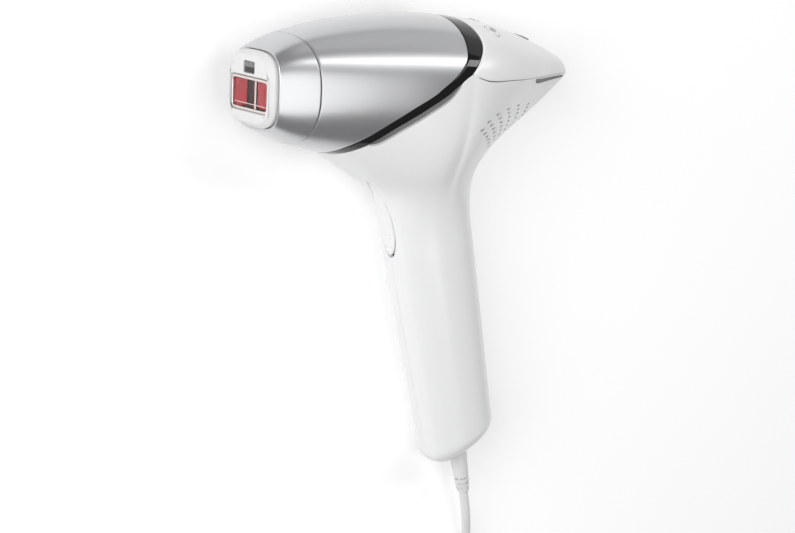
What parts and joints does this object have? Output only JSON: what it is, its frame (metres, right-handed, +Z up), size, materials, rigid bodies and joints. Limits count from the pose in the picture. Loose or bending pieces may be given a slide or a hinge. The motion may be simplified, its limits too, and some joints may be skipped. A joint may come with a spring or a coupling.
{
  "type": "ipl hair remover",
  "caption": "Handheld light-pulse hair remover lying on its side: silver head with a contact window, white grip with a flash trigger, crest buttons, mains cord and wall adapter.",
  "frame": {"origin": "bottom centre of the device box as it lies, without cord and adapter", "axes": "+X from the nose to the tail, +Y from the cord end to the crest, +Z up, towards the left flank"},
  "size_m": [0.186, 0.3855, 0.0684],
  "materials": {
    "housing_white": "satin white moulding",
    "cap_white": "satin white moulding",
    "trim_black": "piano black",
    "cover_silver": "satin silver lacquer",
    "ring_white": "fine matte",
    "sensor_smoke": "smoked, polished",
    "frame_metal": "thin pressed metal",
    "glass_red": "red coated",
    "glass_clear": "clear",
    "contacts_gold": "gold plated",
    "spring_steel": "wire",
    "engine_black": "heat resistant moulding",
    "frame_grey": "moulded",
    "mirror_trough": "polished",
    "sink_aluminium": "extruded",
    "ceramic": "ceramic",
    "screw_steel": "zinc plated",
    "copper_brown": "wound copper, varnished",
    "board_green": "circuit board",
    "capacitor_blue": "sleeved can",
    "tape_yellow": "insulating tape",
    "lead_red": "silicone lead",
    "button_white": "satin",
    "power_grey": "lens",
    "trigger_white": "satin",
    "slot_grey": "dark moulding",
    "cord_grey": "smooth vinyl",
    "tie_black": "soft",
    "adapter_white": "fine spark texture",
    "pin_nickel": "nickel plated"
  },
  "bodies": {
    "root": {"housing_left": "housing_white", "housing_right": "housing_white", "rear_top_cap": "cap_white", "trim_band": "trim_black", "main_cover": "cover_silver", "tail_slot_insert": "slot_grey", "intake_liner_left": "slot_grey", "intake_liner_right": "slot_grey", "uv_filter": "glass_clear", "optics_frame": "engine_black", "reflector": "mirror_trough", "flash_lamp": "glass_clear", "lamp_end_caps": "pin_nickel", "lamp_holders": "ceramic", "heat_sink": "sink_aluminium", "engine_screws": "screw_steel", "fan_housing": "engine_black", "fan_motor": "copper_brown", "control_board": "board_green", "button_switches": "engine_black", "inner_frame": "frame_grey", "frame_screws": "screw_steel", "trigger_pin": "screw_steel", "trigger_spring": "spring_steel", "trigger_switch": "engine_black", "storage_capacitor": "capacitor_blue", "capacitor_clips": "frame_grey", "power_board": "board_green", "high_voltage_transformer": "tape_yellow", "ignition_coil": "copper_brown", "lamp_leads": "lead_red", "cord_clamp": "frame_grey", "strain_relief": "cord_grey", "mains_cord": "cord_grey", "cord_coil": "cord_grey", "cord_tie": "tie_black", "adapter_case": "adapter_white", "adapter_strain_relief": "cord_grey", "adapter_pins": "pin_nickel"},
    "attachment": {"attachment_shell": "cover_silver", "attachment_collar": "engine_black", "filter_glass": "glass_red", "filter_frame": "frame_metal", "attachment_contacts": "contacts_gold", "contact_ring_springs": "spring_steel"},
    "contact_ring": {"contact_ring": "ring_white", "skin_sensor_window": "sensor_smoke"},
    "trigger": {"trigger": "trigger_white", "trigger_lever": "frame_grey"},
    "button_left": {"button_left": "button_white"},
    "button_centre": {"button_centre": "button_white"},
    "button_right": {"button_right": "button_white"},
    "power_button": {"power_button": "power_grey"},
    "fan": {"fan_rotor": "engine_black"}
  },
  "joints": [
    {"name": "attachment_pull", "type": "slide", "parent": "root", "child": "attachment", "axis": [-1, 0, 0], "range_m": [0, 0.035]},
    {"name": "contact_ring_press", "type": "slide", "parent": "attachment", "child": "contact_ring", "axis": [1, 0, 0], "range_m": [0, 0.0008], "stiffness_N_per_m": 1500, "deforming": ["contact_ring_springs"]},
    {"name": "trigger_press", "type": "hinge", "parent": "root", "child": "trigger", "pos_m": [-0.01728, 0.04297, 0.02985], "axis": [0, -0.1059, 0.9944], "range_deg": [0, 1.6], "stiffness_Nm_per_rad": 2, "deforming": ["trigger_spring"]},
    {"name": "button_left_press", "type": "slide", "parent": "root", "child": "button_left", "axis": [-0.2306, -0.812, -0.5362], "range_m": [0, 0.0005], "stiffness_N_per_m": 1500},
    {"name": "button_centre_press", "type": "slide", "parent": "root", "child": "button_centre", "axis": [-0.2043, -0.9734, -0.1037], "range_m": [0, 0.0005], "stiffness_N_per_m": 1500},
    {"name": "button_right_press", "type": "slide", "parent": "root", "child": "button_right", "axis": [-0.2306, -0.9067, 0.3531], "range_m": [0, 0.0005], "stiffness_N_per_m": 1500},
    {"name": "power_button_press", "type": "slide", "parent": "root", "child": "power_button", "axis": [-0.3429, -0.9341, -0.0995], "range_m": [0, 0.0005], "stiffness_N_per_m": 1500},
    {"name": "fan_spin", "type": "hinge", "parent": "root", "child": "fan", "pos_m": [0.003, 0.08398, 0.03422], "axis": [1, 0, 0], "continuous": true}
  ]
}
